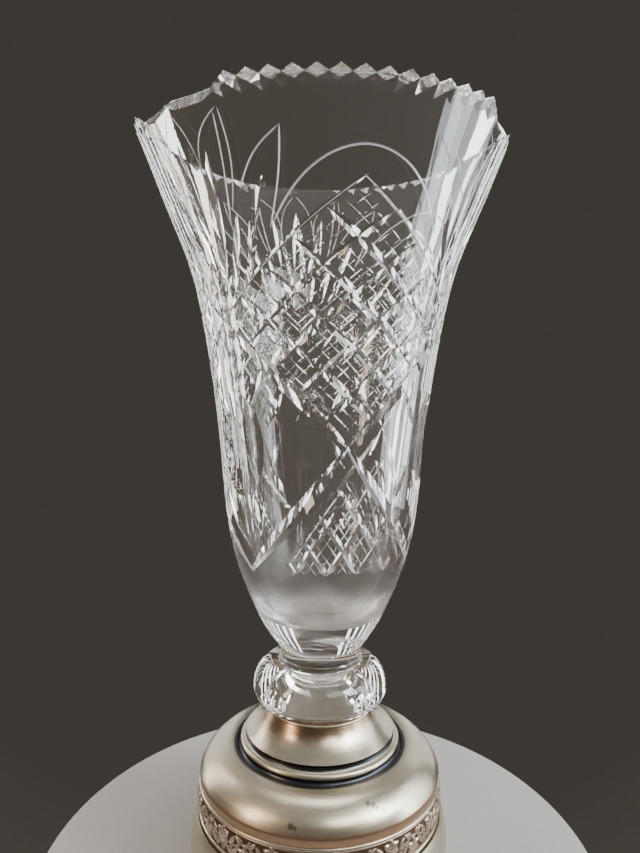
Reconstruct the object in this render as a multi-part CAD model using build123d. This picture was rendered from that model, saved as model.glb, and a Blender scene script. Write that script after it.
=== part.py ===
"""Cut-crystal flower vase on a silver foot, in millimetres.

The crystal is one piece of glass: a flared bowl with a sawtooth and scalloped rim, a short neck, a
flattened ball knop and a hidden peg. The foot is soldered up from thin silver pieces: a flared collar,
a stepped ring, a domed shoulder, two bead wires, an embossed band, a barrel moulding and a foot rim.
Plaster holds the peg in the collar and weights the foot, and a steel plate and a felt pad close it.

Frame: origin on the table at the centre of the foot, +Z up, the middle of one toothed panel faces -Y.
"""
from build123d import *
from math import cos, radians, sin
import os

# ---- Driving dimensions ------------------------------------------------------------------------------
RIM_Z = 300.0            # height of the tooth tips
RIM_RADIUS = 72.0        # outer radius at the tooth tips
WALL_AT_RIM = 5.0        # horizontal wall at the rim
RIM_SLOPE = 2.5          # how much lower the inner edge of the rim is than the outer edge
PANELS = 3               # toothed panels, with a fan of two scallops between each pair
SCALLOP_SPAN = 18.0      # degrees from point to point of one scallop
NOTCHES = 15             # V notches in one toothed panel
NOTCH_PITCH = 5.75       # degrees
NOTCH_OUTSIDE = (30, 1.55)     # degrees that the valley runs down by outwards, and its half width
NOTCH_INSIDE = (45, 3.8)       # the same for the cut from the inside
NOTCH_LENGTH = 12.0
SCALLOP_DEPTH = 3.0
OVAL_Z = 182.0           # centre height of the flat oval cuts, one below each fan
OVAL_DEPTH = 1.9
OVAL_WHEEL = 90.0        # radius of the wheel that leaves an oval
OVAL_LEAN = 4.6          # degrees
OVAL_WALL = 41.2         # radius of the bowl at OVAL_Z
FLUTES = 8               # flat petals round the bottom of the bowl
FLUTE_Z = 104.0
FLUTE_DEPTH = 0.9
FLUTE_WHEEL = 8.0
FLUTE_LEAN = 32.0
FLUTE_WALL = 22.3        # radius of the bowl at FLUTE_Z
SHEET = 0.8              # silver sheet thickness
GAP = 0.05               # assembly gap between parts that only touch

KNOP_RADIUS = 27.8
KNOP_Z = 80.0
KNOP_FOOT_RADIUS = 23.6
KNOP_FOOT_Z = 73.5
NECK_RADIUS = 16.9
PEG_RADIUS = 15.0
PEG_Z = 60.0
BOWL_FLOOR_Z = 110.5

COLLAR_TOP = (21.7, 71.0)      # (radius, height) pairs from here on
COLLAR_FOOT = (30.9, 60.4)
LIP_WIRE = 0.6
SEAT_RADIUS = 21.0
RING_BACK = 28.6
RING_FOOT_Z = 53.4
SHOULDER_TOP = (35.0, 54.4)
SHOULDER_EDGE = (50.2, 44.6)
SHOULDER_SKIRT_Z = 41.3
BAND_TOP_Z = 39.9
BAND_FOOT_Z = 28.6
BAND_RADIUS = 50.3
BAND_BULGE = 0.9
WIRE_RADIUS = 0.65
MOULDING_TOP_Z = 26.9
MOULDING_FOOT_Z = 4.0
MOULDING_RADIUS = 50.9
MOULDING_BULGE = 2.4
FOOT_RADIUS = 54.6
FOOT_INNER_RADIUS = 47.0
FOOT_HEIGHT = 3.9
FELT = 1.0
PLATE = 1.2

# Outer and inner lines of the bowl as (radius, height), from the neck up.
BOWL_OUTER = [
    (19.4, 99.4), (24.2, 107.0), (28.6, 116.5), (32.4, 126.0), (35.4, 136.0), (37.7, 147.0),
    (39.4, 160.0), (40.6, 175.0), (42.2, 192.0), (44.8, 212.0), (48.3, 233.0), (52.9, 251.5),
    (59.0, 267.0), (65.3, 283.0), (RIM_RADIUS, RIM_Z),
]
BOWL_INNER = [
    (12.0, 111.6), (20.5, 118.0), (25.6, 127.0), (29.2, 138.0), (32.2, 152.0), (34.4, 170.0),
    (36.6, 190.0), (39.6, 212.0), (43.2, 233.0), (47.9, 251.5), (54.0, 267.0), (60.4, 283.0),
    (RIM_RADIUS - WALL_AT_RIM, RIM_Z - RIM_SLOPE),
]


# ---- Helpers -----------------------------------------------------------------------------------------
def at(point):
    """A (radius, height) pair as a point of the XZ half plane."""
    return Vector(point[0], 0, point[1])


def line(*points):
    return [Line(at(a), at(b)) for a, b in zip(points, points[1:])]


def arc(a, b, c):
    return ThreePointArc(at(a), at(b), at(c))


def turned(edges):
    """A solid of revolution about Z from a closed loop of edges in the XZ half plane."""
    return revolve(make_face(Wire(edges)), Axis.Z, 360)


def sheet_ring(profile, thickness=SHEET):
    """A thin turned shell: profile is its outer line, and the sheet lies on the axis side of it."""
    tangents = [
        (at(profile[min(i + 1, len(profile) - 1)]) - at(profile[max(i - 1, 0)])).normalized()
        for i in range(len(profile))
    ]
    inner = [
        (p[0] + thickness * t.Z, p[1] - thickness * t.X) for p, t in zip(profile, tangents)
    ]
    outer_edge = Spline([at(p) for p in profile])
    inner_edge = Spline([at(p) for p in reversed(inner)])
    return turned([outer_edge, *line(profile[-1], inner[-1]), inner_edge, *line(inner[0], profile[0])])


def round_ring(radius, height, wire):
    return Pos(0, 0, height) * Torus(radius, wire)


def spun(shape, degrees):
    """Turns a shape made in the half plane at -Y to its place round the vase."""
    return Rot(0, 0, degrees) * shape


def wedge(start, downward, outward, half_width, length):
    """A V-shaped cutter. Its valley starts at (radius, height) and runs down at an angle, out or in.

    The valley's walls are half_width apart from it at unit distance. It is made in the plane X = 0, with
    the radius along -Y.
    """
    along = Vector(0, -outward * cos(downward), -sin(downward))
    up = Vector(0, -outward * sin(downward), cos(downward))
    valley = Vector(0, -start[0], start[1])
    reach = 9.0
    side = Vector(half_width * reach, 0, 0)
    corners = [valley, valley + up * reach + side, valley + up * reach - side]
    section = make_face(Polyline(*corners, close=True))
    return extrude(section, amount=length, dir=along)


# ---- The crystal -------------------------------------------------------------------------------------
def crystal_blank():
    """The blown and turned glass, before any cutting."""
    knop_upper = arc((KNOP_RADIUS, KNOP_Z), (25.0, 87.2), (18.2, 90.2))
    knop_lower = arc((KNOP_FOOT_RADIUS, KNOP_FOOT_Z), (27.0, 76.0), (KNOP_RADIUS, KNOP_Z))
    neck = Spline([at(p) for p in [(18.2, 90.2), (NECK_RADIUS, 92.4), (NECK_RADIUS, 95.6), (17.9, 97.6)]])
    edges = [
        *line((0, PEG_Z), (PEG_RADIUS, PEG_Z), (PEG_RADIUS, KNOP_FOOT_Z), (KNOP_FOOT_RADIUS, KNOP_FOOT_Z)),
        knop_lower,
        knop_upper,
        neck,
        *line((17.9, 97.6), BOWL_OUTER[0]),
        Spline([at(p) for p in BOWL_OUTER]),
        *line(BOWL_OUTER[-1], BOWL_INNER[-1]),
        Spline([at(p) for p in reversed([(0, BOWL_FLOOR_Z), *BOWL_INNER])]),
        *line((0, BOWL_FLOOR_Z), (0, PEG_Z)),
    ]
    return turned(edges)


def rim_cutters():
    """Two V cuts, one from outside and one from inside, for each notch, and a round cut per scallop."""
    middle = (RIM_RADIUS - WALL_AT_RIM / 2, RIM_Z - RIM_SLOPE / 2)
    outer = wedge(middle, radians(NOTCH_OUTSIDE[0]), 1, NOTCH_OUTSIDE[1], NOTCH_LENGTH)
    inner = wedge(middle, radians(NOTCH_INSIDE[0]), -1, NOTCH_INSIDE[1], NOTCH_LENGTH)
    cutters = []
    for k in range(PANELS):
        for n in range(NOTCHES):
            place = k * 360 / PANELS + (n - (NOTCHES - 1) / 2) * NOTCH_PITCH
            cutters += [spun(outer, place), spun(inner, place)]
    half_chord = RIM_RADIUS * sin(radians(SCALLOP_SPAN / 2))
    wheel = (half_chord**2 + SCALLOP_DEPTH**2) / (2 * SCALLOP_DEPTH)
    slope = RIM_SLOPE / WALL_AT_RIM
    axis = Vector(0, -1, slope).normalized()
    centre = Vector(0, -RIM_RADIUS, RIM_Z - SCALLOP_DEPTH + wheel)
    disc = extrude(Plane(centre - axis * 15, x_dir=(1, 0, 0), z_dir=axis) * Circle(wheel), amount=30)
    for k in range(PANELS):
        for side in (-0.5, 0.5):
            cutters.append(spun(disc, (k + 0.5) * 360 / PANELS + side * SCALLOP_SPAN))
    return cutters


def broad_wheel(bottom, radius, lean, width):
    """A wheel with a tangential axis, at -Y. bottom is where it cuts deepest, lean how far it tips over."""
    wheel = Rot(0, 90, 0) * Cylinder(radius, width)
    return Pos(0, -bottom[0], bottom[1]) * Rot(lean, 0, 0) * Pos(0, -radius, 0) * wheel


def oval_cutters():
    """The flat ovals, one below each fan."""
    wheel = broad_wheel((OVAL_WALL - OVAL_DEPTH, OVAL_Z), OVAL_WHEEL, OVAL_LEAN, 60)
    return [spun(wheel, (k + 0.5) * 360 / PANELS) for k in range(PANELS)]


def flute_cutters():
    """The flat petals that gather the bottom of the bowl into the neck."""
    wheel = broad_wheel((FLUTE_WALL - FLUTE_DEPTH, FLUTE_Z), FLUTE_WHEEL, FLUTE_LEAN, 24)
    return [spun(wheel, (k + 0.5) * 360 / FLUTES) for k in range(FLUTES)]


def crystal_vase():
    blank = crystal_blank()
    for cutters in (rim_cutters(), oval_cutters(), flute_cutters()):
        blank = blank - cutters
    return blank


# ---- The silver foot ---------------------------------------------------------------------------------
def collar():
    return sheet_ring([(22.0, 70.2), (23.7, 67.2), (26.9, 63.6), COLLAR_FOOT])


def collar_lip():
    return round_ring(COLLAR_TOP[0] + 0.1, COLLAR_TOP[1] - 0.15, LIP_WIRE)


def step_ring():
    """Two coves with a bead between them, one heavy turned ring."""
    top = (COLLAR_FOOT[0] - 0.2, COLLAR_FOOT[1] - 0.9)
    bead_in = (31.9, 57.7)
    bead_out = (33.3, 56.1)
    foot_in = (34.0, 54.1)
    rim = SHOULDER_TOP[0] - 0.4
    edges = [
        *line((RING_BACK, RING_FOOT_Z), (RING_BACK, top[1]), top),
        arc(top, (31.0, 58.4), bead_in),
        arc(bead_in, (33.0, 57.3), bead_out),
        arc(bead_out, (33.25, 54.9), foot_in),
        *line(foot_in, (rim, foot_in[1]), (rim, RING_FOOT_Z), (RING_BACK, RING_FOOT_Z)),
    ]
    return turned(edges)


def shoulder():
    dome = [(SHOULDER_TOP[0] - 0.3, 54.5), (41.0, 53.6), (45.6, 51.0), (48.6, 47.8), SHOULDER_EDGE]
    edge = SHOULDER_EDGE
    inside = edge[0] - SHEET
    edges = [
        Spline([at(p) for p in dome]),
        *line(edge, (edge[0], SHOULDER_SKIRT_Z), (inside, SHOULDER_SKIRT_Z), (inside, edge[1])),
        Spline([at(p) for p in [(inside, edge[1]), (48.0, 47.2), (45.1, 50.3), (40.8, 52.8), (34.7, 53.7)]]),
        *line((34.7, 53.7), dome[0]),
    ]
    return turned(edges)


def barrel(radius, bulge, low, high, thickness):
    """A thin band whose outer side bulges in the middle."""
    middle = (low + high) / 2
    inside = radius - thickness
    edges = [
        arc((radius, low), (radius + bulge, middle), (radius, high)),
        *line((radius, high), (inside, high)),
        arc((inside, high), (inside + bulge, middle), (inside, low)),
        *line((inside, low), (radius, low)),
    ]
    return turned(edges)


def foot_rim():
    """The heavy ring that the vase stands on, with a bevelled upper edge."""
    inside = FOOT_INNER_RADIUS + 0.2
    edges = line(
        (inside, 0), (FOOT_RADIUS - 0.5, 0), (FOOT_RADIUS, 0.5), (FOOT_RADIUS, 2.2), (FOOT_RADIUS - 1.2, 3.2),
        (MOULDING_RADIUS + 0.3, FOOT_HEIGHT), (inside, FOOT_HEIGHT), (inside, 0),
    )
    return turned(edges)


# ---- What the foot holds -----------------------------------------------------------------------------
def seat_ring():
    """A thin cork ring between the knop and the collar."""
    low = COLLAR_TOP[1] + 0.1
    high = KNOP_FOOT_Z - 0.1
    hole = PEG_RADIUS + GAP
    section = line((hole, low), (SEAT_RADIUS, low), (SEAT_RADIUS, high), (hole, high), (hole, low))
    return turned(section)


def peg_cement():
    """The plaster that sets round the peg inside the collar."""
    section = line((PEG_RADIUS + GAP, PEG_Z), (28.0, PEG_Z), (25.4, 63.4), (22.4, 66.8), (21.0, 69.0),
                   (20.6, 71.0), (PEG_RADIUS + GAP, 71.0), (PEG_RADIUS + GAP, PEG_Z))
    return turned(section)


def ballast():
    """The cast filling that weights the foot, poured against the inside of the silver."""
    top = PEG_Z - 0.1
    floor = FELT + PLATE + 0.1
    section = line((0, floor), (FOOT_INNER_RADIUS, floor), (FOOT_INNER_RADIUS, 5.0), (49.0, 8.0),
                   (49.0, 38.0), (48.9, 44.0), (46.6, 47.2), (43.8, 49.8), (40.0, 52.0), (34.0, 53.2),
                   (28.4, 53.2), (28.4, top), (0, top), (0, floor))
    return turned(section)


def disc(radius, low, thickness):
    return Pos(0, 0, low + thickness / 2) * Cylinder(radius, thickness)


# ---- Write every part --------------------------------------------------------------------------------
PARTS = {
    "crystal_vase": crystal_vase(),
    "cork_seat_ring": seat_ring(),
    "peg_cement": peg_cement(),
    "collar": collar(),
    "collar_lip_wire": collar_lip(),
    "step_ring": step_ring(),
    "shoulder": shoulder(),
    "upper_bead_wire": round_ring(BAND_RADIUS - 0.2, (SHOULDER_SKIRT_Z + BAND_TOP_Z) / 2, WIRE_RADIUS),
    "floral_band": barrel(BAND_RADIUS, BAND_BULGE, BAND_FOOT_Z, BAND_TOP_Z, SHEET),
    "lower_bead_wire": round_ring(BAND_RADIUS - 0.3, (BAND_FOOT_Z + MOULDING_TOP_Z) / 2, WIRE_RADIUS + 0.1),
    "barrel_moulding": barrel(MOULDING_RADIUS, MOULDING_BULGE, MOULDING_FOOT_Z, MOULDING_TOP_Z, SHEET),
    "foot_rim": foot_rim(),
    "ballast": ballast(),
    "base_plate": disc(FOOT_INNER_RADIUS, FELT + GAP, PLATE - GAP),
    "felt_pad": disc(FOOT_INNER_RADIUS, 0, FELT),
}

os.makedirs("parts", exist_ok=True)
for name, shape in PARTS.items():
    export_step(shape, f"parts/{name}.step")
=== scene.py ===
"""Looks for the cut-crystal vase on its silver foot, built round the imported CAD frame. Metres."""
from math import atan2, cos, degrees, hypot, pi, radians, sin, tan

import bpy
import numpy as np
from mathutils import Matrix, Vector, noise

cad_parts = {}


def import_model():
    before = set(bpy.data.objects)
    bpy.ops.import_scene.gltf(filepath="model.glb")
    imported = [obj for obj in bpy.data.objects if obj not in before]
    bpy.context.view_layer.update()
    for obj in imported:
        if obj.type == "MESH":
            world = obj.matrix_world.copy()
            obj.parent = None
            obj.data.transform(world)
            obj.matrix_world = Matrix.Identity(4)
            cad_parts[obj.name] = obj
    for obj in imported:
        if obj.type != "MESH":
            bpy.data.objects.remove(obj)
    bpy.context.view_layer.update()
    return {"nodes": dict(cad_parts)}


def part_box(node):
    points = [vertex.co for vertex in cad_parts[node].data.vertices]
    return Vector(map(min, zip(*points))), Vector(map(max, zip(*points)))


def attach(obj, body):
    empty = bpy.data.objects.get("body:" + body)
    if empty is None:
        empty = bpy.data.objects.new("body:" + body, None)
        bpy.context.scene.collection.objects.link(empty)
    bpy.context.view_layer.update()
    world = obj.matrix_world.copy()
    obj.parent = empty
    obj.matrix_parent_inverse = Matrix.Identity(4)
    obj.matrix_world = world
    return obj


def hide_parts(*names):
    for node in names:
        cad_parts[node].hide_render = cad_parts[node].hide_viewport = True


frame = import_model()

MM = 0.001

# ---- Driving sizes, in millimetres -------------------------------------------------------------------
RIM_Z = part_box("crystal_vase")[1][2] / MM
RIM_RADIUS = 72.0
WALL_AT_RIM = 5.0
RIM_SLOPE = 2.5
PANELS = 3
PERIOD = 360 / PANELS
FAN = PERIOD / 2           # the middle of a fan, from the middle of a toothed panel
SCALLOP_SPAN = 18.0
NOTCHES = 15
NOTCH_PITCH = 5.75         # degrees
NOTCH_OUTSIDE = (30, 1.55)     # degrees the V leans down outwards, and its half width per mm of depth
NOTCH_INSIDE = (45, 3.8)       # the same for the cut from the inside
NOTCH_MOUTH = 7.5          # half width of the cutter at its mouth
NOTCH_LENGTH = 12.0
SCALLOP_DEPTH = 3.0
SCALLOP_ARC = 50           # degrees of the scallop's wheel, each side of its lowest point
OVAL_Z = 182.0
OVAL_DEPTH = 1.9
OVAL_WHEEL = 90.0
OVAL_LEAN = 4.6
FLUTES = 8
FLUTE_Z = 104.0
FLUTE_WHEEL = 8.0
FLUTE_DEPTH = 0.9
FLUTE_LEAN = 32
CLEAR = 0.45               # how far a fine cutter stands out of the wall
LIFT = 0.04                # how far above the wall a fine cut starts and ends
ROUND = 192                # segments round a turned crystal surface

BOWL_OUTER = [
    (19.4, 99.4), (24.2, 107.0), (28.6, 116.5), (32.4, 126.0), (35.4, 136.0), (37.7, 147.0),
    (39.4, 160.0), (40.6, 175.0), (42.2, 192.0), (44.8, 212.0), (48.3, 233.0), (52.9, 251.5),
    (59.0, 267.0), (65.3, 283.0), (RIM_RADIUS, RIM_Z),
]
BOWL_INNER = [
    (0.0, 110.5), (12.0, 111.6), (20.5, 118.0), (25.6, 127.0), (29.2, 138.0), (32.2, 152.0),
    (34.4, 170.0), (36.6, 190.0), (39.6, 212.0), (43.2, 233.0), (47.9, 251.5), (54.0, 267.0),
    (60.4, 283.0), (RIM_RADIUS - WALL_AT_RIM, RIM_Z - RIM_SLOPE),
]


# ---- Curves ------------------------------------------------------------------------------------------
def smooth(points, count):
    """A natural cubic spline through the points, sampled at count places."""
    points = np.array(points, dtype=float)
    knots = np.concatenate([[0], np.cumsum(np.linalg.norm(np.diff(points, axis=0), axis=1))])
    gaps = np.diff(knots)
    size = len(points)
    matrix = np.eye(size)
    right = np.zeros_like(points)
    for i in range(1, size - 1):
        matrix[i, i - 1:i + 2] = gaps[i - 1], 2 * (gaps[i - 1] + gaps[i]), gaps[i]
        right[i] = 6 * ((points[i + 1] - points[i]) / gaps[i] - (points[i] - points[i - 1]) / gaps[i - 1])
    bend = np.linalg.solve(matrix, right)
    where = np.linspace(0, knots[-1], count)
    span = np.clip(np.searchsorted(knots, where, side="right") - 1, 0, size - 2)
    h = gaps[span][:, None]
    a = (knots[span + 1][:, None] - where[:, None]) / h
    b = 1 - a
    return (
        a * points[span] + b * points[span + 1]
        + ((a**3 - a) * bend[span] + (b**3 - b) * bend[span + 1]) * h**2 / 6
    )


def arc(start, middle, end, count):
    """A circular arc through three points in the plane, without its last point."""
    (ax, ay), (bx, by), (cx, cy) = start, middle, end
    d = 2 * (ax * (by - cy) + bx * (cy - ay) + cx * (ay - by))
    ux = ((ax**2 + ay**2) * (by - cy) + (bx**2 + by**2) * (cy - ay) + (cx**2 + cy**2) * (ay - by)) / d
    uy = ((ax**2 + ay**2) * (cx - bx) + (bx**2 + by**2) * (ax - cx) + (cx**2 + cy**2) * (bx - ax)) / d
    radius = hypot(ax - ux, ay - uy)
    first = atan2(ay - uy, ax - ux)
    turn = (atan2(cy - uy, cx - ux) - first) % (2 * pi)
    mid_turn = (atan2(by - uy, bx - ux) - first) % (2 * pi)
    if mid_turn > turn:
        turn -= 2 * pi
    return [
        (ux + radius * cos(first + turn * i / count), uy + radius * sin(first + turn * i / count))
        for i in range(count)
    ]


OUTER_LINE = smooth(BOWL_OUTER, 400)
INNER_LINE = smooth(BOWL_INNER, 400)
OUTER_SLOPE = np.gradient(OUTER_LINE[:, 0], OUTER_LINE[:, 1])
INNER_SLOPE = np.gradient(INNER_LINE[:, 0], INNER_LINE[:, 1])


def wall_radius(z):
    return float(np.interp(z, OUTER_LINE[:, 1], OUTER_LINE[:, 0]))


def wall_normal(turn, z):
    """Outward normal of the bowl at a turn in degrees from -Y, towards +X."""
    slope = float(np.interp(z, OUTER_LINE[:, 1], OUTER_SLOPE))
    length = hypot(1, slope)
    a = radians(turn)
    return Vector((sin(a) / length, -cos(a) / length, -slope / length))


def on_wall(turn, z):
    a = radians(turn)
    r = wall_radius(z)
    return Vector((r * sin(a), -r * cos(a), z))


# ---- Mesh helpers ------------------------------------------------------------------------------------
def new_object(name, vertices, faces, scale=MM):
    mesh = bpy.data.meshes.new(name)
    mesh.from_pydata([tuple(c * scale for c in v) for v in vertices], [], faces)
    mesh.update()
    piece = bpy.data.objects.new(name, mesh)
    bpy.context.scene.collection.objects.link(piece)
    return piece


def soften(piece, angle):
    """Smooth shading, with an edge kept sharp where its faces meet at more than angle degrees."""
    piece.data.shade_smooth()
    piece.data.set_sharp_from_angle(angle=radians(angle))


def lathe(name, outline, segments, offset=None):
    """A closed turned piece. outline is a closed loop of (radius, height) points in millimetres.

    A point at radius 0 becomes a pole. offset(turn, index, radius, height) gives (radius, height).
    """
    vertices = []
    rings = []
    for index, (r, z) in enumerate(outline):
        if r < 1e-6:
            rings.append([len(vertices)] * segments)
            vertices.append((0, 0, z))
            continue
        ring = []
        for s in range(segments):
            turn = 360 * s / segments
            rr, zz = offset(turn, index, r, z) if offset else (r, z)
            a = radians(turn)
            ring.append(len(vertices))
            vertices.append((rr * sin(a), -rr * cos(a), zz))
        rings.append(ring)
    faces = []
    for low, high in zip(rings, rings[1:] + rings[:1]):
        for s in range(segments):
            t = (s + 1) % segments
            corners = [low[s], low[t], high[t], high[s]]
            face = [c for i, c in enumerate(corners) if c != corners[i - 1]]
            if len(set(face)) > 2:
                faces.append(face)
    return new_object(name, vertices, faces)


# ---- Crystal: the blank ------------------------------------------------------------------------------
def crystal_blank():
    peg_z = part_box("crystal_vase")[0][2] / MM
    outline = [(0, peg_z), (14.4, peg_z), (15, peg_z + 0.6), (15, 73.5), (22.9, 73.5)]
    outline += arc((22.9, 73.5), (26.9, 75.7), (27.8, 80.0), 12)
    outline += arc((27.8, 80.0), (25.0, 87.0), (17.6, 90.0), 18)
    outline += arc((17.6, 90.0), (17.0, 90.6), (17.1, 91.4), 4)
    outline += [(17.1, 92.2), (16.7, 92.6), (16.7, 96.4), (17.2, 96.9), (17.9, 97.5), (18.6, 98.4)]
    bowl = smooth(BOWL_OUTER, 110)
    inner = smooth(BOWL_INNER, 80)
    outline += [tuple(p) for p in bowl]
    outline += [tuple(p) for p in inner[::-1]]
    return lathe("crystal_vase_cut", [(float(r), float(z)) for r, z in outline], ROUND)


# ---- Crystal: the cutting wheels ---------------------------------------------------------------------
class Cutters:
    """Collects separate closed cutters that don't overlap each other, for one pass of the wheel."""

    def __init__(self, material=None):
        self.vertices = []
        self.faces = []
        self.material = material or CRYSTAL

    def add(self, vertices, faces):
        start = len(self.vertices)
        places = [Vector(v) for v in vertices]
        volume = 0
        for face in faces:
            for i in range(1, len(face) - 1):
                volume += places[face[0]].dot(places[face[i]].cross(places[face[i + 1]]))
        self.vertices += [tuple(v) for v in places]
        for face in faces:
            order = face if volume > 0 else reversed(face)
            self.faces.append(tuple(start + i for i in order))

    def add_turned(self, vertices, faces, turn):
        spin = Matrix.Rotation(radians(turn), 3, "Z")
        self.add([spin @ Vector(v) for v in vertices], faces)

    def carve(self, piece):
        cutter = new_object("cutter", self.vertices, self.faces)
        cutter.data.materials.append(self.material)
        tool = piece.modifiers.new("cut", "BOOLEAN")
        tool.operation = "DIFFERENCE"
        tool.solver = "MANIFOLD"
        tool.material_mode = "TRANSFER"
        tool.object = cutter
        graph = bpy.context.evaluated_depsgraph_get()
        cut = bpy.data.meshes.new_from_object(piece.evaluated_get(graph))
        piece.modifiers.remove(tool)
        before = piece.data
        piece.data = cut
        bpy.data.meshes.remove(before)
        used = cutter.data
        bpy.data.objects.remove(cutter)
        bpy.data.meshes.remove(used)


def prism(sections):
    """A closed solid through triangular sections, each a list of three points."""
    vertices = [p for section in sections for p in section]
    faces = [(0, 1, 2)]
    for s in range(len(sections) - 1):
        a = 3 * s
        b = a + 3
        for i in range(3):
            j = (i + 1) % 3
            faces += [(a + i, b + i, b + j), (a + i, b + j, a + j)]
    last = 3 * (len(sections) - 1)
    faces.append((last, last + 2, last + 1))
    return vertices, faces


def leaf_depth(t):
    """Depth along a leaf-shaped cut: a point at each end and full in the middle."""
    return sin(pi * t) ** 0.8


def stem_depth(t, taper=0.12):
    """Depth along a long even cut that runs out at both ends."""
    return min(1.0, sin(pi / 2 * min(1.0, t / taper, (1 - t) / taper)))


def mitre(path, width, steepness=58, depth_at=leaf_depth, steps=18):
    """The V-shaped solid that a mitre wheel takes out along a path of (turn, height) points.

    width is the cut's width in its middle and steepness the wheel's half angle.
    """
    depth = width / 2 / tan(radians(steepness))
    spread = tan(radians(steepness))
    line = smooth(path, steps + 1) if len(path) > 2 else np.linspace(path[0], path[1], steps + 1)
    sections = []
    for i in range(steps + 1):
        turn, z = line[i]
        before = on_wall(*line[max(i - 1, 0)])
        after = on_wall(*line[min(i + 1, steps)])
        normal = wall_normal(turn, z)
        side = normal.cross(after - before).normalized()
        deep = depth * depth_at(i / steps) - LIFT
        point = on_wall(turn, z)
        half = (deep + CLEAR) * spread
        top = point + normal * CLEAR
        sections.append([point - normal * deep, top + side * half, top - side * half])
    return prism(sections)


def wheel(turn, z, radius, depth, lean, width=60):
    """A broad flat wheel, its axis level and along the wall, that leaves a flat oval."""
    sides = 96
    centre = Vector((0, -(wall_radius(z) - depth), z))
    tilt = Matrix.Rotation(radians(lean), 3, "X")
    spin = Matrix.Rotation(radians(turn), 3, "Z")
    vertices = []
    for x in (-width / 2, width / 2):
        for s in range(sides):
            a = 2 * pi * (s + 0.5) / sides
            offset = tilt @ Vector((x, radius * cos(a) - radius, radius * sin(a)))
            vertices.append(spin @ (centre + offset))
    faces = [tuple(range(sides - 1, -1, -1)), tuple(range(sides, 2 * sides))]
    for s in range(sides):
        t = (s + 1) % sides
        faces.append((s, t, sides + t, sides + s))
    return vertices, faces


def all_panels(cutters, shapes):
    for vertices, faces in shapes:
        for k in range(PANELS):
            cutters.add_turned(vertices, faces, k * PERIOD)


def mirrored(path):
    """The same path on the other side of a panel's middle."""
    return [(-turn, z) for turn, z in path]


def about_fan(path):
    """A path given from a fan's middle, as turns from the panel's middle."""
    return [(turn + FAN, z) for turn, z in path]


# ---- Crystal: the rim --------------------------------------------------------------------------------
def notch(outward, downward, half_width):
    """A V cut across the rim, from the middle of its land out or in."""
    start = Vector((0, -(RIM_RADIUS - WALL_AT_RIM / 2), RIM_Z - RIM_SLOPE / 2))
    along = Vector((0, -outward * cos(radians(downward)), -sin(radians(downward))))
    up = Vector((0, -outward * sin(radians(downward)), cos(radians(downward))))
    reach = NOTCH_MOUTH / half_width
    side = Vector((NOTCH_MOUTH, 0, 0))
    section = [start, start + up * reach + side, start + up * reach - side]
    return prism([section, [p + along * NOTCH_LENGTH for p in section]])


def cut_rim(vase):
    spacing = 3            # every third notch in one pass, so that the cutters stay apart
    for outward, (downward, half_width) in ((1, NOTCH_OUTSIDE), (-1, NOTCH_INSIDE)):
        vertices, faces = notch(outward, downward, half_width)
        for first in range(spacing):
            cutters = Cutters()
            for k in range(PANELS):
                for n in range(first, NOTCHES, spacing):
                    turn = k * PERIOD + (n - (NOTCHES - 1) / 2) * NOTCH_PITCH
                    cutters.add_turned(vertices, faces, turn)
            cutters.carve(vase)
    half_chord = RIM_RADIUS * sin(radians(SCALLOP_SPAN / 2))
    radius = (half_chord**2 + SCALLOP_DEPTH**2) / (2 * SCALLOP_DEPTH)
    slope = RIM_SLOPE / WALL_AT_RIM
    axis = Vector((0, -1, slope)).normalized()
    up = Vector((0, slope, 1)).normalized()
    centre = Vector((0, -RIM_RADIUS, RIM_Z - SCALLOP_DEPTH + radius))
    sides = 72
    rise = 12              # how far the cutter stands up over the rim
    reach = 14             # and how far along its axis, each way
    low_arc = []
    for i in range(sides + 1):
        a = radians(SCALLOP_ARC * (2 * i / sides - 1))
        low_arc.append(centre + Vector((sin(a), 0, 0)) * radius - up * radius * cos(a))
    loop = [low_arc[0] + up * rise] + low_arc + [low_arc[-1] + up * rise]
    size = len(loop)
    vertices = [p + axis * reach for p in loop] + [p - axis * reach for p in loop]
    faces = [tuple(range(size)), tuple(range(2 * size - 1, size - 1, -1))]
    faces += [(i, i + size, (i + 1) % size + size, (i + 1) % size) for i in range(size)]
    for side in (-0.5, 0.5):
        cutters = Cutters()
        for k in range(PANELS):
            cutters.add_turned(vertices, faces, (k + 0.5) * PERIOD + side * SCALLOP_SPAN)
        cutters.carve(vase)


# ---- Crystal: the pattern ----------------------------------------------------------------------------
DIAMOND_TOP = (0.0, 271.5)
DIAMOND_SIDE = (FAN, 228.0)
CROSSING = (0.0, 184.0)
LATTICE_FOOT = (FAN, 135.0)


def along(a, b, t):
    return (a[0] + (b[0] - a[0]) * t, a[1] + (b[1] - a[1]) * t)


def diamond_line(t, low=0.0, high=1.0):
    """A line across the upper diamond, parallel to its upper right edge, t of the way to the lower left."""
    left = (-DIAMOND_SIDE[0], DIAMOND_SIDE[1])
    start = along(DIAMOND_TOP, left, t)
    end = along(DIAMOND_SIDE, CROSSING, t)
    return [along(start, end, low), along(start, end, high)]


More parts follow.
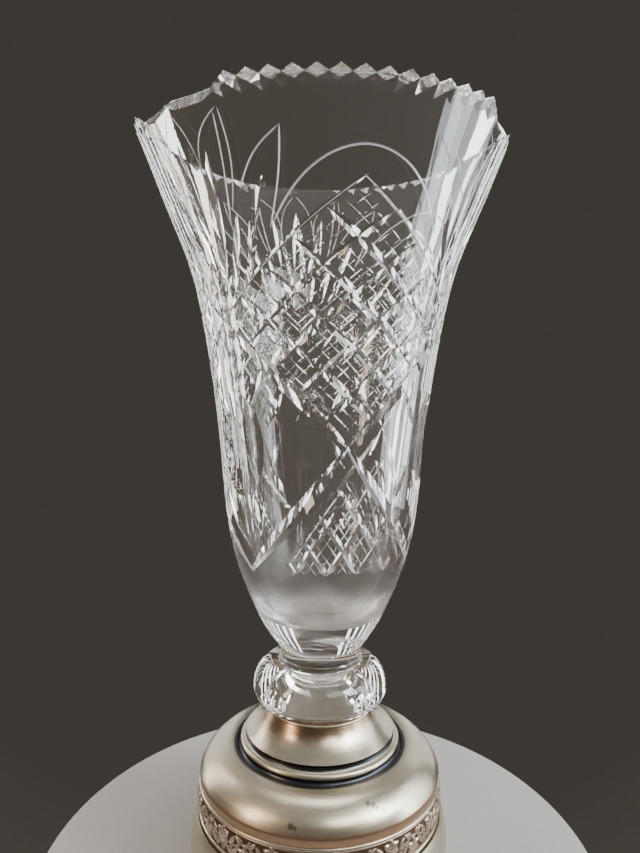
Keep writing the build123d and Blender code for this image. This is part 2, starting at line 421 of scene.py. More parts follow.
def cut_pattern(vase):
    passes = []

    def run(*shapes, material=None):
        cutters = Cutters(material)
        all_panels(cutters, shapes)
        passes.append(cutters)

    # Long diagonals: thin above the widest corner, broad below it.
    edge = [along(DIAMOND_TOP, DIAMOND_SIDE, -0.02), along(DIAMOND_TOP, DIAMOND_SIDE, 1.05)]
    broad = [along(CROSSING, DIAMOND_SIDE, -0.03), along(CROSSING, DIAMOND_SIDE, 0.5),
             along(CROSSING, DIAMOND_SIDE, 1.02)]
    for turn_over in (list, mirrored):
        run(mitre(turn_over(edge), 1.7, depth_at=stem_depth, steps=24))
        run(mitre(turn_over(edge), 0.9, 35, stem_depth, 24), material=ENGRAVED)
        run(mitre(turn_over(broad), 5.4, 62, steps=28))

    # Lower lattice: curved leaves from each crossing down to the foot of the fan.
    swag = [along(CROSSING, LATTICE_FOOT, -0.03), (0.48 * FAN, 156.5), along(CROSSING, LATTICE_FOOT, 1.04)]
    for turn_over in (list, mirrored):
        run(mitre(turn_over(swag), 5.6, 62, steps=28))

    # The upper diamond's bars, then its fine crossed lines.
    bars = 5
    for turn_over in (list, mirrored):
        run(*[mitre(turn_over(diamond_line(n / bars, 0.0, 1.0)), 3.0, 60, stem_depth, 24)
              for n in range(1, bars)])
        fine = [n + part for n in range(bars) for part in (0.36, 0.64)]
        run(*[mitre(turn_over(diamond_line(n / bars, 0.02, 0.98)), 0.5, depth_at=stem_depth, steps=24)
              for n in fine])

    # The lower crossed field, a triangle under each crossing.
    foot_left = (-0.62 * FAN, 136.0)
    foot_right = (0.62 * FAN, 136.0)
    top = (0.0, 174.0)
    rows = 4
    for turn_over in (list, mirrored):
        wide = []
        thin = []
        for n in range(rows):
            start = along(foot_left, top, (n + 0.5) / rows)
            end = along(foot_left, foot_right, (n + 0.5) / rows)
            wide.append(mitre(turn_over([start, end]), 2.6, 60, stem_depth, 14))
            for part in (0.18, 0.82):
                start = along(foot_left, top, (n + part) / rows)
                end = along(foot_left, foot_right, (n + part) / rows)
                thin.append(mitre(turn_over([start, end]), 0.5, depth_at=stem_depth, steps=12))
        run(*wide)
        run(*thin)

    # Small leaves beside the oval.
    for sign in (-1, 1):
        run(mitre(about_fan([(sign * 30, 163.5), (sign * 20, 176.5)]), 3.0),
            mitre(about_fan([(sign * 29, 203.0), (sign * 19, 190.0)]), 3.0))

    # The fan of leaves.
    leaves = [
        ((0, 240), (0, 285), 6.2), ((11.5, 281), (4, 237), 5.6), ((-11.5, 281), (-4, 237), 5.6),
        ((17.5, 262), (9, 236), 3.6), ((-17.5, 262), (-9, 236), 3.6),
        ((29.5, 274), (18, 246), 3.2), ((-29.5, 274), (-18, 246), 3.2),
        ((23, 252), (13, 235), 2.6), ((-23, 252), (-13, 235), 2.6),
    ]
    for low, high, width in leaves:
        run(mitre(about_fan([low, high]), width, 60, steps=22))

    # Flat ovals and the flutes at the bottom of the bowl.
    cutters = Cutters()
    for k in range(PANELS):
        cutters.add(*wheel((k + 0.5) * PERIOD, OVAL_Z, OVAL_WHEEL, OVAL_DEPTH, OVAL_LEAN))
    passes.append(cutters)
    for first in (0, 1):
        cutters = Cutters()
        for n in range(first, FLUTES, 2):
            turn = (n + 0.5) * 360 / FLUTES
            cutters.add(*wheel(turn, FLUTE_Z, FLUTE_WHEEL, FLUTE_DEPTH, FLUTE_LEAN, width=24))
        passes.append(cutters)

    # Thin engraved lines: the arch over the diamond and the outlined leaves.
    arch = [(-31, 256), (-22, 268), (-11, 277), (0, 280), (11, 277), (22, 268), (31, 256)]
    run(mitre(arch, 0.8, 50, stem_depth, 48), material=ENGRAVED)
    for turn_over in (list, mirrored):
        run(mitre(turn_over([(-24.5, 285), (-32, 279), (-39.5, 268)]), 0.7, 50, stem_depth, 20),
            mitre(turn_over([(-24.4, 285.6), (-26, 272), (-31, 256)]), 0.7, 50, stem_depth, 20),
            mitre(turn_over([(-43, 291), (-43.5, 275), (-46, 258)]), 0.7, 50, stem_depth, 20),
            material=ENGRAVED)
        over_fan = [
            [(0.3, 294), (5, 286), (8, 270)],
            [(18.5, 292), (11, 286), (7.6, 268)],
            [(18.5, 292), (19.5, 276), (16, 262)],
        ]
        for path in over_fan:
            run(mitre(turn_over(about_fan(path)), 0.6, 50, stem_depth, 20), material=ENGRAVED)

    for cutters in passes:
        cutters.carve(vase)


def polish(vase):
    """True normals on what is left of the turned bowl, so that the glass refracts as a smooth surface.

    A corner is on the bowl if it is within near_wall of the wall and its face leans with it.
    """
    near_wall = 0.05
    same_lean = cos(radians(7))
    lowest = 6             # the place in the wall's outline where the smooth part starts
    mesh = vase.data
    soften(vase, 10)
    count = len(mesh.loops)
    normals = np.empty(count * 3, dtype=np.float32)
    mesh.corner_normals.foreach_get("vector", normals)
    normals = normals.reshape(-1, 3)
    corner = np.empty(count, dtype=np.int32)
    mesh.loops.foreach_get("vertex_index", corner)
    places = np.empty(len(mesh.vertices) * 3, dtype=np.float32)
    mesh.vertices.foreach_get("co", places)
    places = places.reshape(-1, 3)[corner] / MM
    starts = np.empty(len(mesh.polygons), dtype=np.int32)
    mesh.polygons.foreach_get("loop_start", starts)
    totals = np.empty(len(mesh.polygons), dtype=np.int32)
    mesh.polygons.foreach_get("loop_total", totals)
    flat = np.empty(len(mesh.polygons) * 3, dtype=np.float32)
    mesh.polygons.foreach_get("normal", flat)
    flat = np.repeat(flat.reshape(-1, 3), totals, axis=0)
    radius = np.hypot(places[:, 0], places[:, 1])
    for line, slope, sign in ((OUTER_LINE, OUTER_SLOPE, 1), (INNER_LINE, INNER_SLOPE, -1)):
        lean = np.interp(places[:, 2], line[:, 1], slope)
        length = np.hypot(1, lean) * sign
        true = np.stack([
            places[:, 0] / np.maximum(radius, 1e-6) / length,
            places[:, 1] / np.maximum(radius, 1e-6) / length,
            -lean / length,
        ], axis=1)
        near = np.abs(radius - np.interp(places[:, 2], line[:, 1], line[:, 0])) < near_wall
        near &= places[:, 2] > line[lowest, 1]
        near &= (true * flat).sum(axis=1) > same_lean
        normals[near] = true[near]
    mesh.normals_split_custom_set([tuple(n) for n in normals.tolist()])


# ---- Materials ---------------------------------------------------------------------------------------
class Nodes:
    """A short way to write a material's node tree."""

    def __init__(self, name):
        self.material = bpy.data.materials.new(name)
        self.material.use_nodes = True
        self.tree = self.material.node_tree
        self.shader = self.tree.nodes["Principled BSDF"]

    def add(self, kind, inputs=None, **settings):
        node = self.tree.nodes.new(kind)
        for key, value in settings.items():
            setattr(node, key, value)
        for key, value in (inputs or {}).items():
            self.put(node.inputs[key], value)
        return node

    def put(self, socket, value):
        if isinstance(value, bpy.types.NodeSocket):
            self.tree.links.new(value, socket)
        else:
            socket.default_value = value

    def set(self, **values):
        for key, value in values.items():
            self.put(self.shader.inputs[key.replace("_", " ")], value)

    def place(self):
        return self.add("ShaderNodeTexCoord").outputs["Object"]

    def math(self, operation, a, b=0.0, clamp=False):
        node = self.add("ShaderNodeMath", operation=operation, use_clamp=clamp)
        self.put(node.inputs[0], a)
        self.put(node.inputs[1], b)
        return node.outputs[0]

    def noise(self, vector, scale, detail=4.0, rough=0.5, distortion=0.0):
        node = self.add("ShaderNodeTexNoise", {
            "Vector": vector, "Scale": scale, "Detail": detail,
            "Roughness": rough, "Distortion": distortion,
        })
        return node.outputs["Fac"]

    def ramp(self, value, *stops):
        """stops are (position, value) or (position, colour)."""
        node = self.add("ShaderNodeValToRGB", {"Fac": value})
        ramp = node.color_ramp
        while len(ramp.elements) < len(stops):
            ramp.elements.new(0.5)
        for element, (position, colour) in zip(ramp.elements, stops):
            element.position = position
            grey = (colour,) * 3 if isinstance(colour, (int, float)) else colour
            element.color = (*grey, 1)
        return node.outputs["Color"]

    def mix(self, factor, a, b):
        node = self.add("ShaderNodeMix", data_type="RGBA")
        self.put(node.inputs["Factor"], factor)
        for socket, value in ((node.inputs[6], a), (node.inputs[7], b)):
            self.put(socket, (*value, 1) if isinstance(value, tuple) else value)
        return node.outputs[2]

    def bump(self, height, strength, distance):
        node = self.add("ShaderNodeBump", {"Height": height, "Strength": strength, "Distance": distance})
        return node.outputs["Normal"]


# A cone between the inner and the outer wall, low in the bowl, in metres. It tells the two walls apart.
CONE_Z = 0.1116
CONE_RADIUS = 0.019
CONE_SLOPE = 0.51
DEPOSIT_Z = 0.120          # the deposit fades out over DEPOSIT_FADE above this
DEPOSIT_FADE = 1 / 30
GLASS_IOR = 1.54


def crystal_material():
    """Clear crystal with faint smears, and a dried deposit inside the bottom of the bowl."""
    n = Nodes("cut_crystal")
    place = n.place()
    film = n.noise(place, 60, 5, 0.6)
    smears = n.ramp(film, (0.55, 0.0), (0.8, 0.05))
    x, y, z = n.add("ShaderNodeSeparateXYZ", {"Vector": place}).outputs
    radius = n.math("SQRT", n.math("ADD", n.math("MULTIPLY", x, x), n.math("MULTIPLY", y, y)))
    spread = n.math("MULTIPLY", n.math("SUBTRACT", z, CONE_Z), CONE_SLOPE)
    inside = n.math("LESS_THAN", n.math("SUBTRACT", radius, spread), CONE_RADIUS)
    level = n.math("ADD", z, n.math("MULTIPLY", film, 0.02))
    height = n.math("MULTIPLY", n.math("SUBTRACT", level, DEPOSIT_Z), 1 / DEPOSIT_FADE)
    deposit = n.ramp(height, (0.2, 0.36), (1.0, 0.0))
    smears = n.math("MAXIMUM", smears, n.math("MULTIPLY", inside, deposit))
    tint = n.mix(n.ramp(film, (0.4, 0.0), (0.7, 1.0)), (0.985, 0.98, 0.97), (0.97, 0.945, 0.915))
    n.set(Base_Color=tint, Transmission_Weight=0.989, IOR=GLASS_IOR, Roughness=smears)
    scratch = n.noise(place, 900, 2, 0.4)
    n.set(Normal=n.bump(scratch, 0.05, 0.00003))
    return n.material


def engraved_material():
    """Where a small wheel left a fine matt line."""
    n = Nodes("engraved_crystal")
    grain = n.noise(n.place(), 2500, 3, 0.6)
    n.set(Base_Color=(0.97, 0.98, 0.985, 1), Transmission_Weight=0.75, IOR=GLASS_IOR)
    n.set(Roughness=n.ramp(grain, (0.3, 0.35), (0.7, 0.6)), Normal=n.bump(grain, 0.3, 0.00005))
    return n.material


def ring_place(n, across, around):
    """Coordinates that change fast across the piece's height and radius, and slowly round it."""
    split = n.add("ShaderNodeSeparateXYZ", {"Vector": n.place()})
    x, y, z = split.outputs
    radius = n.math("SQRT", n.math("ADD", n.math("MULTIPLY", x, x), n.math("MULTIPLY", y, y)))
    rise = n.math("MULTIPLY", n.math("ADD", z, radius), across)
    node = n.add("ShaderNodeCombineXYZ", {
        "X": n.math("MULTIPLY", x, around), "Y": n.math("MULTIPLY", y, around), "Z": rise,
    })
    return node.outputs[0], x, y, z, radius


SILVER = (0.65, 0.59, 0.455)
WARM_SILVER = (0.58, 0.46, 0.34)
BROWN = (0.24, 0.14, 0.08)
# Copper-brown for the plain band: a painted reflection of warm brown surroundings, and tarnish.
COPPER_TARNISH_AND_REFLECTION = (0.46, 0.29, 0.18)
OXIDE = (0.055, 0.058, 0.066)
STAIN = (0.09, 0.085, 0.06)
SPOT = (0.10, 0.095, 0.08)
CLOUD_SHADE = 0.72         # how much darker the silver is where it is clouded


def silver_material(name, colour=SILVER, roughness=0.30, warmth=0.35, spots=0.0, tarnish_and_reflection=()):
    """Worn silver with spinning lines, warm patches and dark spots.

    The last argument is a row of (mask, colour), where mask(n, x, y, z, radius) gives 0 to 1 over the
    surface; a colour is tarnish, oxide or a stain, or a painted reflection where it stands in for one.
    """
    n = Nodes(name)
    rings, x, y, z, radius = ring_place(n, 2600, 14)
    place = n.place()
    lines = n.noise(rings, 1.0, 5, 0.65)
    patches = n.noise(place, 45, 4, 0.6, 0.4)
    warm = n.ramp(patches, (0.42, 0.0), (0.72, warmth))
    base = n.mix(warm, colour, WARM_SILVER)
    cloud = n.noise(place, 160, 6, 0.7)
    base = n.mix(n.ramp(cloud, (0.35, 0.0), (0.75, 0.25)), base, tuple(CLOUD_SHADE * c for c in colour))
    # Each mask lays its colour over the silver: tarnish, oxide, stains, or painted reflection.
    for mask, overlay_colour in tarnish_and_reflection:
        base = n.mix(mask(n, x, y, z, radius), base, overlay_colour)
    if spots:
        blot = n.noise(place, 95, 3, 0.5, 0.2)
        base = n.mix(n.ramp(blot, (0.70, 0.0), (0.74, spots)), base, SPOT)
    shine = n.math("ADD", n.math("MULTIPLY", lines, 0.16), roughness - 0.08)
    shine = n.math("ADD", shine, n.math("MULTIPLY", warm, 0.15))
    grain = n.math("ADD", n.math("MULTIPLY", lines, 0.7), n.math("MULTIPLY", cloud, 0.3))
    n.set(Base_Color=base, Metallic=1.0, Roughness=shine, Normal=n.bump(grain, 0.22, 0.00012))
    return n.material


def paint(piece, material):
    piece.data.materials.clear()
    piece.data.materials.append(material)


def show(piece, material, slot, *nodes):
    """Gives a piece its material, if it has none, and puts it in place of its CAD nodes. slot is not used.
    """
    if not piece.data.materials:
        paint(piece, material)
    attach(piece, "root")
    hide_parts(*nodes)


# ---- Silver foot -------------------------------------------------------------------------------------
SHEET = 0.8
BAND_RADIUS = 50.3
BAND_BULGE = 0.9
BAND_REPEATS = 14
BAND_PITCH = 2 * pi * BAND_RADIUS / BAND_REPEATS
BAND_LOW = 28.6
BAND_HIGH = 39.9
SPUN_ROUND = 256           # segments round a spun piece
DENT = 0.05                # depth of the unevenness in spun silver
DENT_SCALE = 0.09          # its waves per millimetre


def shell(line, thickness=SHEET):
    """A closed outline from an outer line of (radius, height), with the sheet on the axis side."""
    line = np.array(line, dtype=float)
    step = np.gradient(line, axis=0)
    step /= np.linalg.norm(step, axis=1)[:, None]
    inner = line + thickness * np.stack([step[:, 1], -step[:, 0]], axis=1)
    return [tuple(p) for p in line] + [tuple(p) for p in inner[::-1]]


def hammered(turn, index, r, z):
    """Tiny unevenness, so that reflections in spun silver waver."""
    place = Vector((r * sin(radians(turn)), r * cos(radians(turn)), z)) * DENT_SCALE
    push = DENT * noise.noise(place) + 0.4 * DENT * noise.noise(place * 3.1)
    return r + push, z + 0.4 * push


def turned_silver(name, outline, slot, material, *nodes, segments=SPUN_ROUND):
    piece = lathe(name, outline, segments, hammered)
    soften(piece, 28)
    show(piece, material, slot, *nodes)
    return piece


def bead(radius, z, wire, count=24):
    turn = 2 * pi / count
    return [(radius + wire * cos(turn * i), z + wire * sin(turn * i)) for i in range(count)]


def barrel(radius, bulge, low, high, count):
    """The outer line of a band whose side bulges, from its lower edge to its upper one."""
    middle = (low + high) / 2
    return arc((radius, low), (radius + bulge, middle), (radius, high), count) + [(radius, high)]


def collar_tarnish(n, x, y, z, radius):
    """Brown at the top of the cone, deeper on the left, with a ragged edge."""
    ragged = n.math("MULTIPLY", n.noise(n.place(), 120, 5, 0.7), 0.0042)
    level = n.math("SUBTRACT", n.math("ADD", z, ragged), n.math("MULTIPLY", x, 0.07))
    return n.ramp(n.math("MULTIPLY", n.math("SUBTRACT", level, 0.0665), 180), (0.12, 0.0), (0.75, 0.85))


def cove_oxide(n, x, y, z, radius):
    """Dark in both coves and bright on the bead between them."""
    crest = n.math("ABSOLUTE", n.math("SUBTRACT", z, 0.0570))
    return n.ramp(n.math("MULTIPLY", crest, 400), (0.34, 0.0), (0.52, 1.0))


def inner_oxide(n, x, y, z, radius):
    """Dark where the dome meets the step ring."""
    return n.ramp(n.math("MULTIPLY", n.math("SUBTRACT", radius, 0.0345), 300), (0.36, 0.95), (0.62, 0.0))


def band_tarnish_and_painted_reflection(n, x, y, z, radius):
    """Copper-brown on the plain band, thinning up the dome: a painted reflection of warm brown
    surroundings, and tarnish.
    """
    return n.ramp(n.math("MULTIPLY", n.math("SUBTRACT", z, 0.0440), 330), (0.1, 0.9), (0.75, 0.0))


# Turn in degrees, then radius, height and size in millimetres.
STAINS = [
    (11.5, 44.3, 51.9, 1.4), (13.8, 44.9, 51.5, 1.4), (15.0, 46.2, 50.5, 1.1), (18.0, 47.2, 49.5, 1.0),
    (-24.5, 48.5, 47.9, 1.3), (-22.8, 48.7, 47.6, 1.0),
]


def stains(n, x, y, z, radius):
    """The small dark stains of STAINS, with ragged edges."""
    ragged = n.math("MULTIPLY", n.noise(n.place(), 650, 4, 0.7), 0.0026)
    mask = 0.0
    for turn, reach, height, size in STAINS:
        a = radians(turn)
        centre = (reach * sin(a) * MM, -reach * cos(a) * MM, height * MM)
        away = n.add("ShaderNodeVectorMath", operation="DISTANCE")
        n.put(away.inputs[0], n.place())
        away.inputs[1].default_value = centre
        edge = n.math("SUBTRACT", (size + 1.35) * MM, n.math("ADD", away.outputs["Value"], ragged))
        mask = n.math("MAXIMUM", mask, n.math("MULTIPLY", n.math("MULTIPLY", edge, 1400, True), 0.72))
    return mask


def build_foot():
    cone = smooth([(22.0, 70.2), (23.7, 67.2), (26.9, 63.6), (30.9, 60.4)], 30)
    worn = silver_material("collar_silver", roughness=0.24, warmth=0.5, tarnish_and_reflection=((collar_tarnish, BROWN),))
    turned_silver("collar_cone", shell(cone), "collar_silver", worn, "collar")

    wire = silver_material("wire_silver", roughness=0.25, warmth=0.6)
    turned_silver("collar_lip", bead(21.8, 70.85, 0.6), "wire_silver", wire, "collar_lip_wire")

    ring = [(28.6, 53.4), (28.6, 59.5), (30.7, 59.5)]
    ring += arc((30.7, 59.5), (31.0, 58.4), (31.9, 57.7), 10)
    ring += arc((31.9, 57.7), (33.0, 57.3), (33.3, 56.1), 12)
    ring += arc((33.3, 56.1), (33.25, 54.9), (34.0, 54.1), 10)
    ring += [(34.0, 54.1), (34.6, 54.1), (34.6, 53.4)]
    blackened = silver_material("ring_silver", tarnish_and_reflection=((cove_oxide, OXIDE),))
    turned_silver("step_ring_turned", ring, "ring_silver", blackened, "step_ring")

    dome = smooth([(34.7, 54.5), (41.0, 53.6), (45.6, 51.0), (48.6, 47.8), (50.2, 44.6)], 40)
    edge = [(50.22, 43.8), (50.2, 42.6), (50.15, 41.3), (49.4, 41.3)]
    under = smooth([(49.4, 44.6), (48.0, 47.2), (45.1, 50.3), (40.8, 52.8), (34.7, 53.7)], 24)
    outline = [tuple(p) for p in dome] + edge + [tuple(p) for p in under]
    # The plain band's copper-brown is a painted reflection of the warm surroundings as well as tarnish.
    marks = ((inner_oxide, OXIDE), (band_tarnish_and_painted_reflection, COPPER_TARNISH_AND_REFLECTION), (stains, STAIN))
    stained_and_reflecting = silver_material("shoulder_silver", roughness=0.29, warmth=0.6, spots=0.3, tarnish_and_reflection=marks)
    turned_silver("shoulder_dome", outline, "shoulder_silver", stained_and_reflecting, "shoulder")

    turned_silver("upper_wire", bead(50.1, 40.6, 0.65), "wire_silver", wire, "upper_bead_wire")
    turned_silver("lower_wire", bead(50.0, 27.75, 0.75), "wire_silver", wire, "lower_bead_wire")
    build_floral_band()

    moulding = barrel(50.9, 2.4, 4.0, 26.9, 40)
    turned_silver("barrel_moulding_spun", shell(moulding), "moulding_silver",
                  silver_material("moulding_silver", warmth=0.7, spots=0.3), "barrel_moulding")

    foot = [(47.2, 0), (54.1, 0), (54.45, 0.15), (54.6, 0.5), (54.6, 2.0)]
    foot += [(54.4, 2.5), (53.4, 3.2), (51.2, 3.9), (47.2, 3.9)]
    turned_silver("foot_rim_turned", foot, "foot_silver",
                  silver_material("foot_silver", roughness=0.32, warmth=0.5), "foot_rim")


# ---- The embossed band -------------------------------------------------------------------------------
def leaf_relief(u, v, root, angle, length, width, height):
    """A pointed leaf with a sunk midrib. root is (u, v), in millimetres along and up the band."""
    du = (u - root[0] + BAND_PITCH / 2) % BAND_PITCH - BAND_PITCH / 2
    dv = v - root[1]
    a = du * cos(radians(angle)) + dv * sin(radians(angle))
    b = -du * sin(radians(angle)) + dv * cos(radians(angle))
    t = np.clip(a / length, 0, 1)
    half = width / 2 * np.sin(pi * t**0.8) ** 0.9 + 1e-6
    dome = np.sqrt(np.clip(1 - (b / half) ** 2, 0, 1)) * (t > 0) * (t < 1)
    rib = 0.45 * np.exp(-((b / 0.13) ** 2))
    return height * dome * (1 - rib)


def flower_relief(u, v, centre, radius, height, petals=5, start=90):
    shape = np.zeros_like(u)
    for k in range(petals):
        angle = start + 360 * k / petals
        shape = np.maximum(shape, leaf_relief(u, v, centre, angle, radius, radius * 0.78, height))
    du = (u - centre[0] + BAND_PITCH / 2) % BAND_PITCH - BAND_PITCH / 2
    boss = 1 - (du**2 + (v - centre[1]) ** 2) / (0.27 * radius) ** 2
    return np.maximum(shape, 1.15 * height * np.sqrt(np.clip(boss, 0, 1)))


def band_relief(u, v, height):
    """Relief of the whole band: a waving stem with leaves all along it, and a flower in each bay."""
    pitch = BAND_PITCH
    wave = 2.3
    phase = 2 * pi * u / pitch
    middle = height / 2
    stem_v = middle + wave * np.sin(phase)
    slope = wave * 2 * pi / pitch * np.cos(phase)
    off = (v - stem_v) / np.sqrt(1 + slope**2)
    shape = 0.34 * np.sqrt(np.clip(1 - (off / 0.38) ** 2, 0, 1))
    sprigs = 12
    for k in range(sprigs):
        at = (k + 0.5) / sprigs
        root = (at * pitch, middle + wave * sin(2 * pi * at))
        run = degrees(atan2(wave * 2 * pi / pitch * cos(2 * pi * at), 1))
        side = 1 if k % 2 else -1
        shape = np.maximum(shape, leaf_relief(u, v, root, run + side * 62, 3.0, 1.5, 0.40))
        shape = np.maximum(shape, leaf_relief(u, v, root, run - side * 118, 2.3, 1.3, 0.36))
    for bay, up in ((0.25, -1), (0.75, 1)):
        centre = (bay * pitch, middle + up * 1.9)
        shape = np.maximum(shape, flower_relief(u, v, centre, 3.7, 0.66, 6, 90 * up))
        for side in (-1, 1):
            leaf_root = ((bay + side * 0.16) * pitch, middle + up * 0.1)
            tilt = 90 - side * 38 if up > 0 else -90 + side * 38
            shape = np.maximum(shape, leaf_relief(u, v, leaf_root, tilt, 4.8, 2.1, 0.52))
            low_root = ((bay + side * 0.10) * pitch, middle - up * 2.2)
            tilt = -90 + side * 50 if up > 0 else 90 - side * 50
            shape = np.maximum(shape, leaf_relief(u, v, low_root, tilt, 3.4, 1.7, 0.45))
    border = np.minimum(v, height - v)
    shape = np.maximum(shape, 0.35 * np.exp(-(((border - 0.35) / 0.28) ** 2)))
    return shape


def build_floral_band():
    """The ground lies under the CAD band's surface, so that the relief stays within it."""
    rows = 46
    columns = 1200
    outer = barrel(BAND_RADIUS - 0.25, BAND_BULGE - 0.3, BAND_LOW, BAND_HIGH, rows)
    back = BAND_RADIUS - SHEET - 0.3
    inside = [(back, BAND_HIGH), (back, BAND_LOW)]
    turns = np.arange(columns) * 360 / columns
    u, v = np.meshgrid(np.radians(turns) * BAND_RADIUS, [z - BAND_LOW for _, z in outer], indexing="ij")
    relief = band_relief(u, v, BAND_HIGH - BAND_LOW)
    last = len(outer)

    def raised(turn, index, r, z):
        if index >= last:
            return r, z
        column = int(round(turn * columns / 360)) % columns
        stipple = 0.025 * noise.noise(Vector((turn * 3.0, z * 3.4, 0)))
        return r + float(relief[column, index]) + stipple, z

    piece = lathe("floral_band_embossed", outer + inside, columns, raised)
    soften(piece, 60)
    layer = piece.data.attributes.new("relief", "FLOAT", "POINT")
    values = np.zeros(len(piece.data.vertices), dtype=np.float32)
    values[:last * columns] = relief.T.reshape(-1)
    layer.data.foreach_set("value", values)
    show(piece, floral_material(), "floral_silver", "floral_band")


def floral_material():
    """Brown in the ground of the relief and bright on what stands up."""
    n = Nodes("floral_silver")
    height = n.add("ShaderNodeAttribute", attribute_name="relief").outputs["Fac"]
    place = n.place()
    grime = n.noise(place, 420, 5, 0.7)
    level = n.math("ADD", height, n.math("MULTIPLY", n.math("SUBTRACT", grime, 0.5), 0.22))
    bright = n.ramp(level, (0.10, 0.0), (0.42, 1.0))
    patches = n.noise(place, 60, 3, 0.5)
    high = n.mix(n.ramp(patches, (0.4, 0.1), (0.7, 0.8)), (0.78, 0.66, 0.54), (0.66, 0.46, 0.32))
    n.set(Base_Color=n.mix(bright, (0.14, 0.085, 0.055), high), Metallic=1.0)
    n.set(Roughness=n.ramp(level, (0.1, 0.55), (0.45, 0.26)), Normal=n.bump(grime, 0.25, 0.0001))
    return n.material


# ---- What is hidden, and the felt --------------------------------------------------------------------
def grainy(name, dark, light, scale, roughness, bump_strength, depth):
    n = Nodes(name)
    grain = n.noise(n.place(), scale, 6, 0.65)
    n.set(Base_Color=n.mix(n.ramp(grain, (0.3, 0.0), (0.7, 1.0)), dark, light), Roughness=roughness)
    n.set(Normal=n.bump(grain, bump_strength, depth))
    return n.material


def repaint(node, material):
    part = frame["nodes"][node]
    for place in part.material_slots:
        place.material = material


def finish_hidden():
    cork = grainy("cork", (0.22, 0.13, 0.07), (0.52, 0.36, 0.21), 700, 0.85, 0.5, 0.0003)
    repaint("cork_seat_ring", cork)
    plaster = grainy("plaster", (0.58, 0.55, 0.48), (0.74, 0.71, 0.65), 350, 0.9, 0.4, 0.0003)
    repaint("peg_cement", plaster)
    repaint("ballast", plaster)
    plate = grainy("steel_plate", (0.30, 0.30, 0.31), (0.46, 0.46, 0.47), 260, 0.45, 0.2, 0.0001)
    plate.node_tree.nodes["Principled BSDF"].inputs["Metallic"].default_value = 1.0
    repaint("base_plate", plate)


def build_felt():
    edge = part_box("felt_pad")[1][0] / MM
    outline = [(0, 0.0)] + [(edge * t, 0.0) for t in (0.25, 0.5, 0.75, 0.97)]
    outline += arc((edge - 0.5, 0.0), (edge, 0.5), (edge - 0.5, 1.0), 8) + [(edge - 0.5, 1.0), (0, 1.0)]

    def fuzzy(turn, index, r, z):
        tuft = noise.noise(Vector((r * sin(radians(turn)), r * cos(radians(turn)), z)) * 0.9)
        return r - 0.12 * abs(tuft), z

    piece = lathe("felt_pad_cut", outline, 180, fuzzy)
    soften(piece, 40)
    n = Nodes("felt")
    fluff = n.noise(n.place(), 1400, 6, 0.8)
    n.set(Base_Color=n.mix(fluff, (0.012, 0.05, 0.025), (0.05, 0.14, 0.08)), Roughness=0.95)
    n.set(Sheen_Weight=0.6, Normal=n.bump(fluff, 0.9, 0.0006))
    show(piece, n.material, "felt", "felt_pad")


# ---- Camera, light and floor -------------------------------------------------------------------------
VIEW_TURN = -12.5          # where the camera stands, from the panel's middle
VIEW_DISTANCE = 280.0
VIEW_HEIGHT = 214.3
VIEW_DIP = 5.5             # degrees
VIEW_ROLL = 0.44
VIEW_SIDE = 0.17
VIEW_LENS = 29.12


def place_camera():
    data = bpy.data.cameras.new("camera")
    data.lens = VIEW_LENS
    data.sensor_width = 36.0
    data.clip_start = 0.01
    camera = bpy.data.objects.new("camera", data)
    a = radians(VIEW_TURN)
    camera.location = Vector((sin(a), -cos(a), 0)) * VIEW_DISTANCE * MM + Vector((0, 0, VIEW_HEIGHT * MM))
    look = (
        Matrix.Rotation(a + radians(VIEW_SIDE), 4, "Z")
        @ Matrix.Rotation(radians(90 - VIEW_DIP), 4, "X")
        @ Matrix.Rotation(radians(VIEW_ROLL), 4, "Z")
    )
    camera.rotation_euler = look.to_euler()
    bpy.context.scene.collection.objects.link(camera)
    bpy.context.scene.camera = camera


def softbox(name, turn, distance, height, size, power, colour, aim=0.17):
    """An area light at a turn from the camera's side, aimed at the vase's axis. Metres and watts."""
    data = bpy.data.lights.new(name, "AREA")
    data.shape = "RECTANGLE"
    data.size, data.size_y = size
    data.energy = power
    data.color = colour
    lamp = bpy.data.objects.new(name, data)
    a = radians(VIEW_TURN + turn)
    lamp.location = Vector((sin(a) * distance, -cos(a) * distance, height))
    lamp.rotation_euler = (Vector((0, 0, aim)) - lamp.location).to_track_quat("-Z", "Y").to_euler()
    lamp.visible_camera = False
    bpy.context.scene.collection.objects.link(lamp)


BACKDROP = (0.052, 0.047, 0.040)
CEILING = (0.34, 0.335, 0.33)
ROOM = (0.17, 0.145, 0.125)


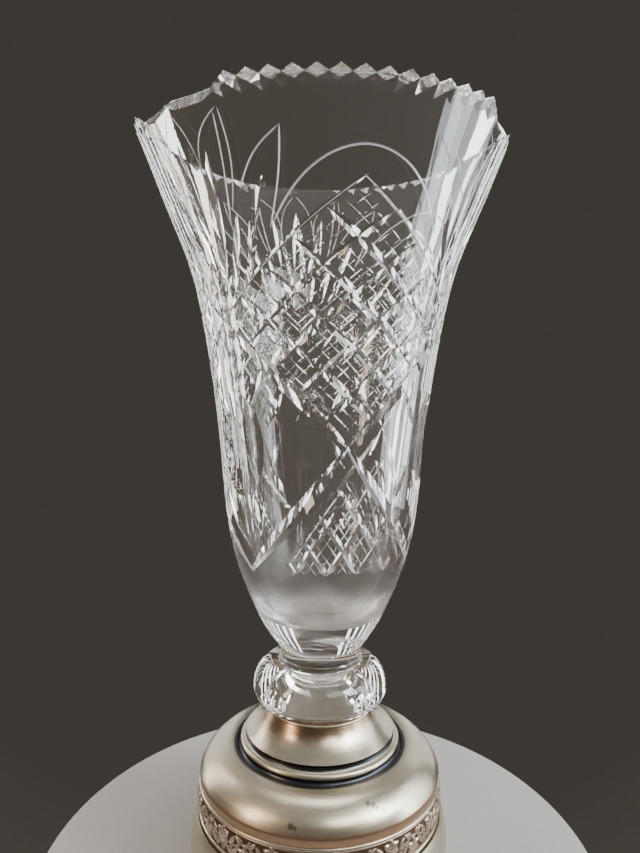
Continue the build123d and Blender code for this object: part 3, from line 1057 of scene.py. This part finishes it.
def world():
    """Dark behind the vase as the camera sees it, and paler overhead and behind the camera."""
    scene_world = bpy.data.worlds.new("world")
    scene_world.use_nodes = True
    tree = scene_world.node_tree
    back = tree.nodes["Background"]
    where = tree.nodes.new("ShaderNodeTexCoord")
    split = tree.nodes.new("ShaderNodeSeparateXYZ")
    ahead = tree.nodes.new("ShaderNodeVectorMath")
    ahead.operation = "DOT_PRODUCT"
    a = radians(VIEW_TURN)
    ahead.inputs[1].default_value = (-sin(a), cos(a), 0)
    lighter = tree.nodes.new("ShaderNodeMix")
    lighter.data_type = "RGBA"
    lighter.blend_type = "LIGHTEN"
    lighter.inputs["Factor"].default_value = 1
    ramps = []
    for stops in (((0.50, BACKDROP), (0.78, CEILING)), ((0.25, ROOM), (0.80, BACKDROP))):
        ramp = tree.nodes.new("ShaderNodeValToRGB")
        for element, (position, colour) in zip(ramp.color_ramp.elements, stops):
            element.position = position
            element.color = (*colour, 1)
        ramps.append(ramp)
    tree.links.new(where.outputs["Generated"], split.inputs[0])
    tree.links.new(where.outputs["Generated"], ahead.inputs[0])
    tree.links.new(split.outputs["Z"], ramps[0].inputs["Fac"])
    tree.links.new(ahead.outputs["Value"], ramps[1].inputs["Fac"])
    tree.links.new(ramps[0].outputs["Color"], lighter.inputs[6])
    tree.links.new(ramps[1].outputs["Color"], lighter.inputs[7])
    tree.links.new(lighter.outputs[2], back.inputs["Color"])
    bpy.context.scene.world = scene_world


FLOOR_RADIUS = 118.0
FLOOR_TOP = -0.001         # just under the felt, so that the faces don't coincide
FLOOR_UNDER = -4.0


def floor():
    outline = [(0, FLOOR_UNDER), (FLOOR_RADIUS, FLOOR_UNDER), (FLOOR_RADIUS, FLOOR_TOP), (0, FLOOR_TOP)]
    piece = lathe("floor", outline, 128)
    n = Nodes("floor_card")
    grain = n.noise(n.place(), 300, 4, 0.6)
    n.set(Base_Color=n.mix(grain, (0.33, 0.32, 0.305), (0.38, 0.37, 0.355)), Roughness=0.7)
    n.set(Normal=n.bump(grain, 0.1, 0.0003))
    paint(piece, n.material)


# Strip lights behind the vase on both sides, hidden from the camera: the cuts bend their light into view.
STRIP_TURNS = (134, 141, 148, 155, 161)
STRIP_SIZE = (0.032, 0.7)
BOUNCES = 40               # light crosses many cut faces before it leaves the glass

CRYSTAL = crystal_material()
ENGRAVED = engraved_material()
crystal = crystal_blank()
paint(crystal, CRYSTAL)
cut_rim(crystal)
cut_pattern(crystal)
polish(crystal)
show(crystal, CRYSTAL, "crystal", "crystal_vase")
build_foot()
finish_hidden()
build_felt()

place_camera()
world()
floor()
softbox("key", 62, 0.75, 0.62, (0.28, 0.4), 6.5, (0.93, 0.97, 1.0))
softbox("warm", -60, 0.7, 0.40, (0.10, 0.4), 2.2, (1.0, 0.80, 0.60))
softbox("top", 180, 0.15, 0.95, (0.5, 0.3), 4.0, (1.0, 0.98, 0.95))
softbox("side_right", 81, 0.6, 0.25, (0.15, 0.6), 2.6, (0.86, 0.94, 1.0))
softbox("wide_right", 100, 0.6, 0.25, (0.26, 0.6), 1.6, (0.90, 0.96, 1.0))
softbox("side_left", -118, 0.6, 0.25, (0.10, 0.6), 1.2, (1.0, 0.94, 0.88))
softbox("front", 38, 0.9, 0.95, (0.8, 0.4), 5.4, (1.0, 0.97, 0.93))
for number, turn in enumerate(STRIP_TURNS):
    softbox(f"back_left_{number}", -turn, 0.8, 0.25, STRIP_SIZE, 0.25, (0.98, 0.98, 1.0))
    softbox(f"back_right_{number}", turn, 0.8, 0.25, STRIP_SIZE, 0.27, (0.97, 0.98, 1.0))

cycles = bpy.context.scene.cycles
cycles.max_bounces = BOUNCES
cycles.transmission_bounces = BOUNCES
cycles.glossy_bounces = BOUNCES
